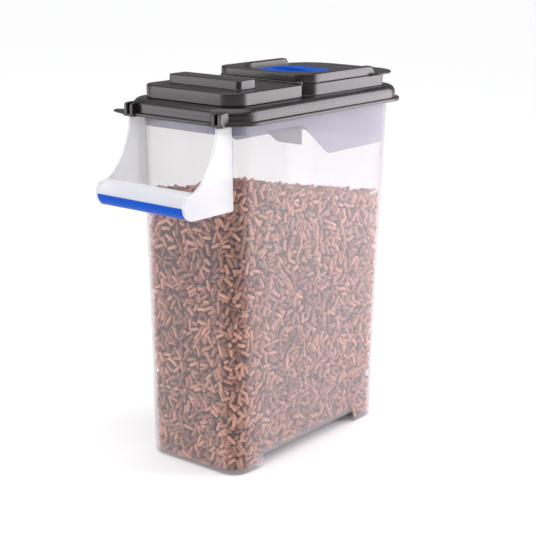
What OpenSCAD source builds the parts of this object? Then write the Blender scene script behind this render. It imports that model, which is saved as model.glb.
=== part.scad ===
// Tall pour-from-the-top feed bin: tapered tub with a front handle, and a
// lift-off lid that carries a hinged fill cap and a hinged pour hatch with a
// quarter-turn lock. X is across the bin, Y runs from the handle to the rear.

/* [Tub] */
// Outside width at the floor
base_x = 133.6; // [110:0.1:165]
// Outside length at the floor
base_y = 269.8; // [230:0.1:330]
// Outside width where the lid flange sits
mouth_x = 143.9; // [120:0.1:175]
// Outside length where the lid flange sits
mouth_y = 296.7; // [250:0.1:360]
// Height of the lid flange's underside above the floor
mouth_z = 390; // [300:1:480]
// Upright corner radius at the floor
base_r = 21.7; // [15:0.1:30]
// Upright corner radius at the mouth
mouth_r = 28; // [20:0.1:36]
// Wall of the tub
tub_wall = 2.0; // [1.5:0.1:3]
// Floor of the tub
floor_t = 2.4; // [1.8:0.1:4]
// Height of the arch under the floor
arch_h = 13.5; // [8:0.5:25]
// Length of each foot, at the front and at the rear
foot_y = 47; // [30:1:70]
// How far the rim stands above the lid flange's underside
rim_h = 9.5; // [8:0.5:10]
// How far the rim bead stands out of the wall
rim_out = 4; // [3:0.1:5]

/* [Handle] */
// Distance of each cheek's middle plane in from the tub's side
cheek_inset = 10.85; // [8:0.05:14]
// Thickness of each cheek
cheek_t = 3.2; // [2.6:0.1:4]
// Reach of the grip's centre in front of the mouth
grip_reach = 51.2; // [45:0.1:65]
// Drop of the grip's centre below the lid flange
grip_drop = 75.7; // [65:0.1:95]
// Outside radius of the grip
grip_r = 14; // [12:0.1:17]
// Wall of the grip's two halves
grip_wall = 2.6; // [2:0.1:3.5]

/* [Lid] */
// Overhang of the flange past the tub
flange_out = 14.5; // [12:0.1:18]
// Thickness of the flange
flange_t = 3.4; // [2.5:0.1:4]
// Overhang of the lid's upright skirt past the tub
skirt_out = 9.5; // [9:0.1:11]
// Height of the deck above the flange's underside
deck_h = 17.5; // [17.5:0.5:22]
// Moulded wall of the lid
lid_wall = 2.4; // [2:0.1:2.8]
// Reach of the lift tab past the flange's side
tab_reach = 10.5; // [8:0.1:14]

/* [Fill cap] */
// Length of the cap
cap_y = 114; // [95:1:124]
// Height of the cap's lower tier above the deck
cap_h = 14.1; // [14.1:0.1:17]
// Height of the bar grip on the cap
bar_h = 9.9; // [6:0.1:14]
// Width of the bar grip, front to rear
bar_y = 28; // [20:1:34]
// Half of the bar grip's length
bar_half = 50; // [35:1:56]

/* [Pour hatch] */
// Gap between the cap's rear and the hatch's front
hatch_gap = 10; // [9:0.5:16]
// Height of the hatch's coaming above the deck
coaming_h = 13; // [12.5:0.1:15]
// Height of the raised wall above the coaming
raised_h = 10.5; // [9:0.1:12]
// Radius of the finger dish round the dial
dish_r = 57; // [52:0.5:58]
// Distance of the dial's centre behind the hatch's front edge
dial_back = 63; // [60:1:70]
// Radius of the lock dial
dial_r = 41; // [32:0.5:46]
// Travel of each latch bolt for a quarter turn
bolt_travel = 5; // [3:0.1:5]

/* [Liner collar] */
// Depth of the collar's front part below the lid flange
collar_front = 11.5; // [10:0.5:20]
// Depth of the collar's rear part below the lid flange
collar_rear = 49; // [35:0.5:60]
// Wall of the collar
collar_wall = 1.8; // [1.4:0.1:2.4]

/* [Contents] */
// Height of the pellets at the front wall
feed_front = 331; // [60:1:335]
// Height of the pellets at the rear wall
feed_rear = 277; // [60:1:310]

/* [Fits] */
// Gap between pieces that part or slide past each other
gap = 0.3; // [0.2:0.05:0.4]
// Radial clearance of a hinge pin or spindle in its bore
run_fit = 0.05; // [0.02:0.01:0.1]
// Radius of the hinge pins
pin_r = 1.5; // [1.3:0.1:1.7]

/* [Hidden] */
$fn = 72;
hull_fn = 32;
eps = 0.01;
past = 1;
edge = 0.8;

// The bin stands centred on its own outline, which the grip and the lift tab
// make longer on one side than on the other.
flange_half_x = mouth_x / 2 + flange_out;
flange_half_y = mouth_y / 2 + flange_out;
nose_r = grip_r + 0.6;
grip_y = -mouth_y / 2 - grip_reach;
grip_z = mouth_z - grip_drop;
shift_x = tab_reach / 2;
shift_y = (nose_r - grip_y - flange_half_y) / 2;

// Tub levels
rim_z = mouth_z + rim_h;
foot_in = base_y / 2 - foot_y;

// Handle
cheek_x = mouth_x / 2 - cheek_inset;
cheek_z0 = grip_z - nose_r;
cheek_z1 = mouth_z - 1.4;
cheek_top_y = mouth_y / 2 + 15;
cheek_root_y = base_y / 2 - 10;
rail_t = 1.2;
rail_len = 12;
rail_slot_gap = 0.1;
rail_z0 = cheek_z0 + 3.5;
rail_z1 = mouth_z - 6;
rail_y = mouth_y / 2 + 1.2;

// Lid levels
skirt_z = mouth_z + flange_t;
deck_z = mouth_z + deck_h;
deck_under = deck_z - lid_wall;
shoulder_low = 7;
shoulder_mid = 2.2;
shoulder_mid_in = 3.1;
shoulder_top_in = 7.4;
opening_lip_in = rim_out + 0.4;
gasket_z = rim_z + gap;
gasket_out = rim_out - 1.2;
step_z = mouth_z + 1.3;
step_h = 0.5;
step_in = 0.7;
// the underside of the shoulder's upper slope, over the gasket's outer edge
roof_flat = skirt_out - shoulder_top_in - lid_wall;
roof_slope = shoulder_mid / (shoulder_top_in - shoulder_mid_in);
gasket_top = deck_under - roof_slope * (gasket_out - roof_flat) - 0.05;

// Fill cap
cap_half = mouth_x / 2 - 4.45;
cap_y0 = -mouth_y / 2 + 6.35;
cap_y1 = cap_y0 + cap_y;
cap_wall = 2.2;
cap_z0 = deck_z + 0.6;
cap_top = deck_z + cap_h;
cap_under = cap_top - cap_wall;
cap_front_r = 22;
cap_rear_r = 3;
bar_y0 = cap_y0 + 28;
bar_y1 = bar_y0 + bar_y;
bar_front_r = 5;
bar_rear_r = 3;
cap_axis_y = cap_y1 - 6;
cap_axis_z = deck_z + 8;
knuckle_r = 3.2;
cap_sweep_r = cap_axis_z - deck_z - 0.25;
cap_post_x = 40;
cap_post_half = 6;
cap_lug_t = 5.5;
neck_half = cap_half - 9.5;
neck_y0 = cap_y0 + 10;
neck_y1 = cap_axis_y - knuckle_r - 7;
neck_wall = 2.2;
neck_r = 16;
cap_seal_t = 2.6;
neck_top = cap_under - cap_seal_t - gap;

// Pour hatch
hatch_half = mouth_x / 2 - 4.95;
hatch_y0 = cap_y1 + hatch_gap;
hatch_y1 = mouth_y / 2 - 16.35;
coaming_top = deck_z + coaming_h;
coaming_wall = 2.2;
coaming_front_r = 20;
coaming_rear_r = 8;
opening_half = hatch_half - 7;
opening_y0 = hatch_y0 + 9;
opening_y1 = hatch_y1 - 9;
opening_r = 10;
hatch_z0 = coaming_top + 0.2;
plate_t = 2.0;
plate_z = hatch_z0 + plate_t;
raised_z = coaming_top + raised_h;
raised_y1 = hatch_y1 - 27;
lip_half = hatch_half + 8;
lip_y0 = raised_y1 - 6;
lip_y1 = mouth_y / 2 + 14;
lip_r = 44;
lip_front_r = 12;
barrel_r = 3;
barrel_half = hatch_half - 9.5;
hinge_rail = 12;
hatch_axis_y = hatch_y0 + barrel_r;
hatch_axis_z = coaming_top;
hatch_post_x = 28;
hatch_post_half = 6;
hatch_pin_reach = 6;
plug_half = opening_half - 2.5;
plug_y0 = opening_y0 + 2.5;
plug_y1 = opening_y1 - 3.2;
plug_wall = 2.2;
plug_z0 = deck_z + 1;
hatch_seal_z0 = coaming_top - 4;
hatch_seal_z1 = coaming_top - 1;

// Quarter-turn lock
dial_y = hatch_y0 + dial_back;
dial_z0 = plate_z + gap;
dial_top = dial_z0 + 3.6;
ridge_z = raised_z - 0.9;
ridge_half_y = 7;
ridge_r = 140;
dish_off = 26;
dish_ball_r = 60;
dish_floor = 1.6;
ring_in = 10;
ring_out = 12;
ring_deep = 1;
ring_fit = 0.1;
spindle_r = 6;
boss_r = 9.5;
cam_z1 = plate_z - 4.6;
cam_t = 2.9;
cam_z0 = cam_z1 - cam_t;
cam_r = 20;
square = 8;
screw_r = 1.9;
screw_head_r = 3.6;
screw_head_t = 1.6;
cam_r0 = 10;
cam_turn = 90;
cam_pin_r = 1.6;
cam_slot_half = cam_pin_r + 0.15;
bolt_half_y = 6;
bolt_t = 3.5;
bolt_z1 = cam_z0 - gap;
bolt_z0 = bolt_z1 - bolt_t;
bolt_in = cam_r0 - 2.5;
bolt_out = plug_half + 0.5;
bolt_clear = 0.3;
cover_t = 2;
cover_z1 = bolt_z0 - 0.2;
cover_z0 = cover_z1 - cover_t;
cover_half_x = 48;
cover_half_y = 16;
cover_screw_x = 40;
cover_screw_y = 12;
cover_screw_r = 1.25;
cover_boss_r = 3.4;

// Liner collar
collar_gap = 1.2;
collar_in = tub_wall + collar_gap;
collar_z1 = deck_under - gap;
collar_front_z = mouth_z - collar_front;
collar_rear_z = mouth_z - collar_rear;
collar_step_y0 = cap_y1 - 1;
collar_step_y1 = collar_step_y0 + 50;
wing_z0 = mouth_z - 33.5;
wing_tip_top = 13;
wing_tip_low = 34;
ear_z1 = mouth_z + 7.7;
ear_t = 2.5;
ear_half = 5.5;
ear_screw_r = 1.4;
ear_boss_r = 3.4;
ear_spots = [
    [mouth_x / 2 - 18, cap_y0 + 11.5],
    [mouth_x / 2 - 15, hatch_y0 - 2],
    [mouth_x / 2 - 22, hatch_y1 + 2]];

// Size and place of the tub's outline at a height
function at_z(low, high, z) = low + (high - low) * z / mouth_z;

// Rounded rectangle with its own radius at the front and at the rear
module rounded(x0, x1, y0, y1, rf, rr) {
    translate([x0 + rf, y0]) square([x1 - x0 - 2 * rf, rf]);
    translate([x0, y0 + rf]) square([x1 - x0, y1 - y0 - rf - rr]);
    translate([x0 + rr, y1 - rr]) square([x1 - x0 - 2 * rr, rr]);
    for (x = [x0 + rf, x1 - rf]) translate([x, y0 + rf]) circle(r = rf);
    for (x = [x0 + rr, x1 - rr]) translate([x, y1 - rr]) circle(r = rr);
}

// A rounded rectangle centred on the bin, grown or shrunk from the mouth
module mouth_outline(grow) {
    hx = mouth_x / 2 + grow;
    hy = mouth_y / 2 + grow;
    rounded(-hx, hx, -hy, hy, mouth_r + grow, mouth_r + grow);
}

// The tub's tapered outline between two heights, set in from the outside
module taper(z0, z1, inset) {
    hull() for (z = [z0, z1 - eps]) {
        hx = at_z(base_x, mouth_x, z) / 2 - inset;
        hy = at_z(base_y, mouth_y, z) / 2 - inset;
        r = at_z(base_r, mouth_r, z) - inset;
        translate([0, 0, z]) linear_extrude(eps)
            rounded(-hx, hx, -hy, hy, r, r, $fn = hull_fn);
    }
}

// Block between two corners
module block(a, b) { translate(a) cube(b - a); }

// Bar along X with a round section
module x_rod(x0, x1, y, z, r) {
    translate([x0, y, z]) rotate([0, 90, 0]) cylinder(r = r, h = x1 - x0);
}

module both_sides() { for (s = [0, 1]) mirror([s, 0, 0]) children(); }
module place() { translate([shift_x, shift_y, 0]) children(); }

// ---------------------------------------------------------------- tub

module handle_rail() {
    block([cheek_x - rail_t / 2, -rail_y, rail_z0],
        [cheek_x + rail_t / 2, -rail_y + rail_len, rail_z1]);
}

module tub() {
    color([0.90, 0.91, 0.95, 0.45]) place() difference() {
        union() {
            taper(0, rim_z, 0);
            translate([0, 0, mouth_z + 5]) linear_extrude(rim_h - 5) mouth_outline(rim_out);
            both_sides() handle_rail();
        }
        difference() {
            taper(floor_t, rim_z + past, tub_wall);
            block([-base_x, -foot_in - tub_wall, 0], [base_x, foot_in + tub_wall, arch_h + floor_t]);
        }
        block([-base_x, -foot_in, -past], [base_x, foot_in, arch_h]);
    }
}

module feed_pellets() {
    side = tub_wall + gap;
    half_y = mouth_y / 2;
    color([0.52, 0.38, 0.31]) place() difference() {
        taper(floor_t + gap, max(feed_front, feed_rear) + past, side);
        block([-base_x, -foot_in - side, 0], [base_x, foot_in + side, arch_h + floor_t + gap]);
        rotate([90, 0, 90]) linear_extrude(2 * base_x, center = true)
            polygon([[-half_y, feed_front], [half_y, feed_rear],
                [half_y, mouth_z], [-half_y, mouth_z]]);
    }
}

// ------------------------------------------------------------- handle

// Side outline of a cheek: a long hollow curve from the lid down to the nose
curve_end_in = 9.5;
curve_end_lift = 0.4;
curve_end_y = curve_end_in - grip_y;
curve_end_z = grip_z + sqrt(nose_r * nose_r - curve_end_in * curve_end_in) + curve_end_lift;
curve_power = 0.85;
function cheek_front(t) = [
    -(cheek_top_y + (curve_end_y - cheek_top_y) * pow(1 - cos(90 * t), curve_power)),
    cheek_z1 - (cheek_z1 - curve_end_z) * sin(90 * t)];

module cheek_side() {
    steps = 14;
    polygon(concat(
        [for (i = [0:steps]) cheek_front(i / steps)],
        [[grip_y, cheek_z0], [-cheek_root_y, cheek_z0], [-cheek_root_y, cheek_z1]]));
    translate([grip_y, grip_z]) circle(r = nose_r);
}

module half_tube(r, wall, from, to, half) {
    translate([0, grip_y, grip_z]) rotate([90, 0, 90]) linear_extrude(2 * half, center = true)
        difference() {
            circle(r = r);
            circle(r = r - wall);
            a = (from + to) / 2;
            rotate(a + 180) translate([0, -2 * r]) square([2 * r, 4 * r]);
        }
}

module handle_frame() {
    color([0.96, 0.96, 0.99, 0.8]) place() difference() {
        union() {
            both_sides() translate([cheek_x - cheek_t / 2, 0, 0]) rotate([90, 0, 90])
                linear_extrude(cheek_t) cheek_side();
            half_tube(grip_r, grip_wall, 0, 180, cheek_x);
        }
        taper(0, rim_z, -gap / 2);
        both_sides() block([cheek_x - rail_t / 2 - rail_slot_gap, -rail_y - gap, rail_z0 - gap],
            [cheek_x + rail_t / 2 + rail_slot_gap, -cheek_root_y + rail_len, mouth_z]);
    }
}

module grip_insert() {
    seam = 0.1;
    clip_r = grip_r - grip_wall - seam;
    clip_t = 1.6;
    clip_rise = 5;
    half = cheek_x - cheek_t / 2 - 2 * seam;
    color([0.0, 0.30, 0.80]) place() {
        difference() {
            half_tube(grip_r, grip_wall, 180, 360, half);
            block([-base_x, grip_y - 2 * grip_r, grip_z - seam],
                [base_x, grip_y + 2 * grip_r, grip_z + past]);
        }
        // tongues that snap up inside the upper half
        difference() {
            union() {
                grip_tongues(clip_r, clip_rise, half - 4);
                grip_tongues(clip_r + 0.5, -seam, half - 4);
            }
            x_rod(-half, half, grip_y, grip_z, clip_r - clip_t);
        }
    }
}

module grip_tongues(r, top, half) {
    intersection() {
        x_rod(-half, half, grip_y, grip_z, r);
        block([-half, grip_y - grip_r, grip_z - 5], [half, grip_y + grip_r, grip_z + top]);
    }
}

// ---------------------------------------------------------------- lid

// Sloping band between two heights, from one overhang past the tub to another
module sloping_band(z0, z1, grow0, grow1) {
    hull() {
        translate([0, 0, z0]) linear_extrude(eps) mouth_outline(grow0, $fn = hull_fn);
        translate([0, 0, z1 - eps]) linear_extrude(eps) mouth_outline(grow1, $fn = hull_fn);
    }
}

// The lid's body: an upright skirt, a shoulder in two slopes and a flat deck
module lid_body(z0, inset) {
    low = deck_z - shoulder_low - inset;
    mid = deck_z - shoulder_mid - inset;
    translate([0, 0, z0]) linear_extrude(low - z0 + eps) mouth_outline(skirt_out - inset);
    sloping_band(low, mid, skirt_out - inset, skirt_out - shoulder_mid_in - inset);
    sloping_band(mid - eps, deck_z - inset,
        skirt_out - shoulder_mid_in - inset, skirt_out - shoulder_top_in - inset);
}

// The flange has a fine step round its edge
module flange() {
    difference() {
        translate([0, 0, mouth_z]) linear_extrude(flange_t) mouth_outline(flange_out);
        translate([0, 0, step_z]) linear_extrude(step_h) difference() {
            mouth_outline(flange_out + past);
            mouth_outline(flange_out - step_in);
        }
    }
}

module lift_tab() {
    r = 7;
    t = 2.4;
    tip = [-flange_half_x - tab_reach + r, -flange_half_y + 16];
    translate([0, 0, mouth_z]) linear_extrude(t) {
        translate(tip) circle(r = r);
        polygon([tip + [-2, -r], [-flange_half_x + 18, -flange_half_y - 1],
            [-flange_half_x + 26, -flange_half_y + 30], [-flange_half_x, -flange_half_y + 40],
            tip + [-3, r - 0.7]]);
    }
}

// Two upright ribs on the skirt with a slot between them over each cheek
module cheek_ribs() {
    half = 2.1;
    off = half + cheek_t / 2 + 0.35;
    lug_half = 7.6;
    front = -flange_half_y - 1.2;
    for (x = [cheek_x - off, cheek_x + off])
        translate([x, 0, 0]) {
            block([-half, front, mouth_z], [half, -mouth_y / 2 - skirt_out + 3, deck_z - 4.5]);
            block([-half, front + 2.6, mouth_z], [half, -mouth_y / 2 - 1, deck_z - 1.5]);
        }
    block([cheek_x - lug_half, front + 0.2, mouth_z - 0.6],
        [cheek_x + lug_half, front + 4.2, mouth_z + 2.2]);
}

module coaming() {
    difference() {
        translate([0, 0, deck_z - eps]) linear_extrude(coaming_h + eps)
            rounded(-hatch_half, hatch_half, hatch_y0, hatch_y1, coaming_front_r, coaming_rear_r);
        // hollow under the top land, between the outer and the inner wall
        translate([0, 0, deck_z - past]) linear_extrude(coaming_h - coaming_wall + past) difference() {
            rounded(-hatch_half + coaming_wall, hatch_half - coaming_wall,
                hatch_y0 + hinge_rail, hatch_y1 - coaming_wall,
                coaming_front_r - coaming_wall, coaming_rear_r - coaming_wall);
            rounded(-opening_half - coaming_wall, opening_half + coaming_wall,
                opening_y0 - coaming_wall, opening_y1 + coaming_wall,
                opening_r + coaming_wall, opening_r + coaming_wall);
        }
        // cove in which the hatch's rolled front edge turns
        x_rod(-barrel_half - gap, barrel_half + gap, hatch_axis_y, hatch_axis_z, barrel_r + 0.25);
        block([-barrel_half - gap, hatch_y0 - past, hatch_axis_z - barrel_r - 0.25],
            [barrel_half + gap, hatch_axis_y, coaming_top + past]);
    }
}

// A hinge knuckle on a post that stands on the deck, lower at the front
module knuckle(x, half, y, z, r, front_drop = 0) {
    x_rod(x - half, x + half, y, z, r);
    block([x - half, y - r, deck_z - eps], [x + half, y + r, z - front_drop]);
    block([x - half, y, deck_z - eps], [x + half, y + r, z]);
}

module knuckle_bore(x, half, y, z) {
    x_rod(x - half - past, x + half + past, y, z, pin_r + run_fit);
}

module keeper_slots() {
    side = 0.6;
    above = 0.5;
    for (s = [-1, 1]) {
        x = s * (opening_half + coaming_wall / 2);
        block([x - coaming_wall, dial_y - bolt_half_y - side, bolt_z0 - above],
            [x + coaming_wall, dial_y + bolt_half_y + side, bolt_z1 + above]);
    }
}

module ear_places() {
    both_sides() for (p = ear_spots) translate([p[0], p[1], 0]) children();
}

module lid_shell() {
    color([0.17, 0.16, 0.17]) place() difference() {
        union() {
            difference() {
                union() {
                    flange();
                    lid_body(mouth_z + flange_t / 2, 0);
                    both_sides() cheek_ribs();
                    lift_tab();
                }
                lid_body(mouth_z + flange_t / 2, lid_wall);
                translate([0, 0, mouth_z - past]) linear_extrude(flange_t + past)
                    mouth_outline(opening_lip_in);
                translate([0, 0, deck_under - past]) linear_extrude(lid_wall + 2 * past)
                    rounded(-opening_half, opening_half, opening_y0, opening_y1, opening_r, opening_r);
            }
            // upstanding neck of the fill opening
            translate([0, 0, deck_under]) linear_extrude(neck_top - deck_under)
                rounded(-neck_half, neck_half, neck_y0, neck_y1, neck_r, neck_r);
            coaming();
            both_sides() {
                knuckle(hatch_post_x, hatch_post_half, hatch_axis_y, hatch_axis_z,
                    barrel_r - 0.1, barrel_r + 0.25);
                knuckle(cap_post_x, cap_post_half, cap_axis_y, cap_axis_z, knuckle_r);
            }
            ear_places() translate([0, 0, ear_z1]) cylinder(r = ear_boss_r, h = deck_under - ear_z1 + eps);
        }
        translate([0, 0, deck_under - past]) linear_extrude(cap_h)
            rounded(-neck_half + neck_wall, neck_half - neck_wall, neck_y0 + neck_wall,
                neck_y1 - neck_wall, neck_r - neck_wall, neck_r - neck_wall);
        translate([0, 0, deck_under - past]) linear_extrude(coaming_h + 5)
            rounded(-opening_half, opening_half, opening_y0, opening_y1, opening_r, opening_r);
        both_sides() {
            knuckle_bore(hatch_post_x, hatch_post_half, hatch_axis_y, hatch_axis_z);
            knuckle_bore(cap_post_x, cap_post_half, cap_axis_y, cap_axis_z);
        }
        keeper_slots();
        ear_places() translate([0, 0, ear_z1 - past]) cylinder(r = ear_screw_r, h = 7);
    }
}

module lid_gasket() {
    color([0.75, 0.76, 0.78]) place() translate([0, 0, gasket_z])
        linear_extrude(gasket_top - gasket_z) difference() {
            mouth_outline(gasket_out);
            mouth_outline(-tub_wall - 0.4);
        }
}

// ------------------------------------------------------- liner collar

// What the collar's skirt loses: shallow at the front, deep at the rear
module collar_cut() {
    rotate([90, 0, 90]) linear_extrude(2 * base_x, center = true)
        polygon([[-mouth_y, 0], [-mouth_y, collar_front_z], [collar_step_y0, collar_front_z],
            [collar_step_y1, collar_rear_z], [mouth_y, collar_rear_z], [mouth_y, 0]]);
}

module collar_wing() {
    x1 = mouth_x / 2 - collar_in - collar_wall;
    translate([0, collar_step_y0 + collar_wall, 0]) rotate([90, 0, 0]) linear_extrude(collar_wall)
        polygon([[x1, wing_z0], [wing_tip_low, wing_z0], [wing_tip_top, wing_z0 + 13],
            [wing_tip_top, collar_z1], [x1, collar_z1]]);
}

module liner_collar() {
    color([0.55, 0.58, 0.66]) place() difference() {
        union() {
            difference() {
                taper(collar_rear_z, collar_z1, collar_in);
                taper(collar_rear_z - past, collar_z1 + past, collar_in + collar_wall);
                collar_cut();
            }
            intersection() {
                taper(collar_rear_z, collar_z1, collar_in + collar_wall / 2);
                union() {
                    both_sides() collar_wing();
                    ear_places() block([-ear_half, -ear_half, ear_z1 - ear_t],
                        [mouth_x, ear_half, ear_z1]);
                }
            }
        }
        ear_places() translate([0, 0, ear_z1 - 2 * ear_t]) cylinder(r = ear_screw_r + 0.3, h = 3 * ear_t);
    }
}

module collar_screws() {
    color([0.70, 0.71, 0.73]) place() ear_places() {
        translate([0, 0, ear_z1 - ear_t - 1.6]) difference() {
            cylinder(r = 2.9, h = 1.6);
            for (a = [0, 90]) rotate(a) block([-1.8, -0.35, -past], [1.8, 0.35, 0.8]);
        }
        translate([0, 0, ear_z1 - ear_t - eps]) cylinder(r = ear_screw_r, h = ear_t + 5.5);
    }
}

// ----------------------------------------------------------- fill cap

module cap_outer(inset, z1) {
    translate([0, 0, z1[0]]) linear_extrude(z1[1] - z1[0])
        rounded(-cap_half + inset, cap_half - inset, cap_y0 + inset, cap_y1 - inset,
            cap_front_r - inset, max(cap_rear_r - inset, edge));
}

module bar_outer(inset, z1) {
    translate([0, 0, z1[0]]) linear_extrude(z1[1] - z1[0])
        rounded(-bar_half + inset, bar_half - inset, bar_y0 + inset, bar_y1 - inset,
            bar_front_r - inset, bar_rear_r - inset);
}

module fill_cap() {
    color([0.17, 0.16, 0.17]) place() difference() {
        union() {
            difference() {
                union() {
                    cap_outer(0, [cap_z0, cap_top - edge]);
                    cap_outer(edge, [cap_z0, cap_top]);
                    bar_outer(0, [cap_under, cap_top + bar_h - edge]);
                    bar_outer(edge, [cap_under, cap_top + bar_h]);
                }
                cap_outer(cap_wall, [cap_z0 - past, cap_under]);
                bar_outer(cap_wall, [cap_z0 - past, cap_top + bar_h - cap_wall]);
            }
            // lugs that hold the hinge pins
            both_sides() for (s = [-1, 1]) {
                x = cap_post_x + s * (cap_post_half + gap + cap_lug_t / 2);
                x_rod(x - cap_lug_t / 2, x + cap_lug_t / 2, cap_axis_y, cap_axis_z, knuckle_r);
                block([x - cap_lug_t / 2, cap_axis_y - knuckle_r, cap_axis_z],
                    [x + cap_lug_t / 2, cap_axis_y + knuckle_r, cap_under + eps]);
            }
        }
        // the rear edge is rounded about the hinge so that it clears the deck
        difference() {
            block([-base_x, cap_axis_y, deck_z], [base_x, cap_y1 + past, cap_axis_z]);
            x_rod(-base_x, base_x, cap_axis_y, cap_axis_z, cap_sweep_r);
        }
        // windows in the rear wall for the lid's knuckles
        both_sides() block([cap_post_x - cap_post_half - gap, cap_axis_y + 1, deck_z],
            [cap_post_x + cap_post_half + gap, cap_y1 + past, cap_under]);
        both_sides() x_rod(cap_post_x - cap_post_half - gap - cap_lug_t - past,
            cap_post_x + cap_post_half + gap + cap_lug_t + past, cap_axis_y, cap_axis_z, pin_r);
    }
}

module fill_cap_seal() {
    over = 1.2;
    color([0.75, 0.76, 0.78]) place() translate([0, 0, cap_under - cap_seal_t])
        linear_extrude(cap_seal_t) difference() {
            rounded(-neck_half - over, neck_half + over, neck_y0 - over, neck_y1 + over,
                neck_r + over, neck_r + over);
            rounded(-neck_half + neck_wall + over, neck_half - neck_wall - over,
                neck_y0 + neck_wall + over, neck_y1 - neck_wall - over,
                neck_r - neck_wall - over, neck_r - neck_wall - over);
        }
}

module fill_cap_hinge_pins() {
    reach = cap_post_half + gap + cap_lug_t;
    color([0.75, 0.76, 0.78]) place() both_sides()
        x_rod(cap_post_x - reach, cap_post_x + reach, cap_axis_y, cap_axis_z, pin_r);
}

// --------------------------------------------------------- pour hatch

module hatch_plan(inset) {
    rounded(-hatch_half + inset, hatch_half - inset, hatch_y0 + inset, raised_y1 + 20,
        coaming_front_r - inset, 1);
}

module raised_wall(inset, z0, z1) {
    difference() {
        translate([0, 0, z0]) linear_extrude(z1 - z0) difference() {
            hatch_plan(inset);
            translate([0, dial_y]) circle(r = dish_r + inset);
            translate([-dish_r - inset, dial_y]) square([2 * (dish_r + inset), 2 * dish_r + 40]);
        }
        // the wall's rear ends slope down to the plate
        rotate([90, 0, 90]) linear_extrude(2 * base_x, center = true)
            polygon([[raised_y1 - inset, raised_z + past], [raised_y1 + 5 - inset, plate_z],
                [raised_y1 + 5 - inset, hatch_z0 - past], [raised_y1 + 60, hatch_z0 - past],
                [raised_y1 + 60, raised_z + past]]);
    }
}

module hatch_lid() {
    reach = hatch_post_half + hatch_pin_reach;
    color([0.17, 0.16, 0.17]) place() difference() {
        union() {
            // plate with its wide lift lip
            translate([0, 0, hatch_z0]) linear_extrude(plate_t) {
                rounded(-hatch_half, hatch_half, hatch_axis_y, raised_y1 + 20, coaming_front_r - barrel_r, 1);
                rounded(-lip_half, lip_half, lip_y0, lip_y1, lip_front_r, lip_r);
            }
            raised_wall(0, hatch_z0, raised_z - edge);
            raised_wall(edge, hatch_z0, raised_z);
            // rolled front edge that turns in the coaming's cove
            intersection() {
                x_rod(-barrel_half, barrel_half, hatch_axis_y, hatch_axis_z, barrel_r);
                translate([0, 0, hatch_axis_z - 2 * barrel_r]) linear_extrude(4 * barrel_r) hatch_plan(0);
            }
            // plug wall
            translate([0, 0, plug_z0]) linear_extrude(plate_z - plug_z0 - eps) difference() {
                rounded(-plug_half, plug_half, plug_y0, plug_y1, opening_r - 2, opening_r - 2);
                rounded(-plug_half + plug_wall, plug_half - plug_wall, plug_y0 + plug_wall,
                    plug_y1 - plug_wall, opening_r - 2 - plug_wall, opening_r - 2 - plug_wall);
            }
            translate([0, dial_y, cam_z1 + gap]) cylinder(r = boss_r, h = plate_z - cam_z1 - gap - eps);
            for (x = [-1, 1], y = [-1, 1])
                translate([x * cover_screw_x, dial_y + y * cover_screw_y, cover_z1])
                    cylinder(r = cover_boss_r, h = plate_z - cover_z1 - eps);
        }
        translate([0, dial_y, cam_z1 - past]) cylinder(r = spindle_r + run_fit, h = 20);
        // groove of the dial's seal ring
        translate([0, dial_y, plate_z - ring_deep]) difference() {
            cylinder(r = ring_out + ring_fit, h = ring_deep + past);
            cylinder(r = ring_in - ring_fit, h = ring_deep + past);
        }
        for (x = [-1, 1], y = [-1, 1])
            translate([x * cover_screw_x, dial_y + y * cover_screw_y, cover_z1 - past])
                cylinder(r = cover_screw_r, h = 8);
        // bolt slots through the plug's side walls
        for (s = [-1, 1])
            block([s * plug_half - 4, dial_y - bolt_half_y - bolt_clear, bolt_z0 - bolt_clear],
                [s * plug_half + 4, dial_y + bolt_half_y + bolt_clear, bolt_z1 + bolt_clear]);
        // gaps in the rolled edge for the lid's knuckles
        both_sides() {
            x0 = hatch_post_x - hatch_post_half - gap;
            x1 = hatch_post_x + hatch_post_half + gap;
            x_rod(x0, x1, hatch_axis_y, hatch_axis_z, barrel_r + gap);
            block([x0, hatch_y0 - past, hatch_axis_z - 2 * barrel_r],
                [x1, hatch_axis_y + barrel_r, hatch_axis_z]);
            x_rod(hatch_post_x - reach, hatch_post_x + reach, hatch_axis_y, hatch_axis_z, pin_r);
        }
    }
}

module hatch_seal() {
    out = 2.2;
    color([0.75, 0.76, 0.78]) place() translate([0, 0, hatch_seal_z0])
        linear_extrude(hatch_seal_z1 - hatch_seal_z0) difference() {
            rounded(-plug_half - out, plug_half + out, plug_y0 - out, plug_y1 + out,
                opening_r - 2 + out, opening_r - 2 + out);
            rounded(-plug_half, plug_half, plug_y0, plug_y1, opening_r - 2, opening_r - 2);
        }
}

module hatch_hinge_pins() {
    reach = hatch_post_half + hatch_pin_reach;
    color([0.75, 0.76, 0.78]) place() both_sides()
        x_rod(hatch_post_x - reach, hatch_post_x + reach, hatch_axis_y, hatch_axis_z, pin_r);
}

// --------------------------------------------------- quarter-turn lock

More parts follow.
